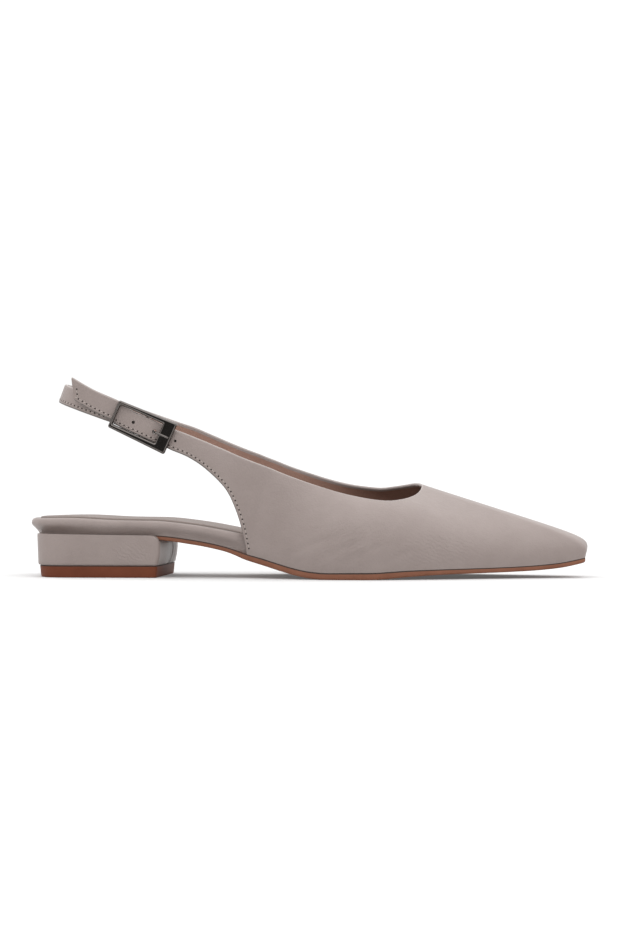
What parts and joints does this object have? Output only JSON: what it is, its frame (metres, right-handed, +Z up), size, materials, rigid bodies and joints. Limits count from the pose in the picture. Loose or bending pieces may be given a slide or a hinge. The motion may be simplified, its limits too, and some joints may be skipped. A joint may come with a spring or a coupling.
{
  "type": "sling back flat",
  "caption": "Low-heeled sling back flat, right shoe, with a pointed square toe, a cut-away heel and a buckled heel strap.",
  "frame": {"origin": "middle of the heel's tread, on the floor", "axes": "+X towards the toe, -Y towards the outer side of this right shoe, +Z up"},
  "size_m": [0.2677, 0.0835, 0.095],
  "materials": {
    "outsole_rubber": "satin brown edge, fine grain underneath",
    "lift_rubber": "satin brown",
    "heel_leather": "semi-matt taupe, fine grain with wrap wrinkles",
    "footbed_leather": "semi-matt taupe, fine grain",
    "sock_leather": "matt taupe lining leather",
    "upper_leather": "semi-matt taupe, fine grain",
    "gunmetal": "near-black mirror polish"
  },
  "bodies": {
    "root": {"outsole": "outsole_rubber", "top_lift": "lift_rubber", "heel_block": "heel_leather", "footbed": "footbed_leather", "sock": "sock_leather", "upper": "upper_leather", "buckle_frame": "gunmetal", "buckle_prong": "gunmetal"}
  },
  "joints": []
}
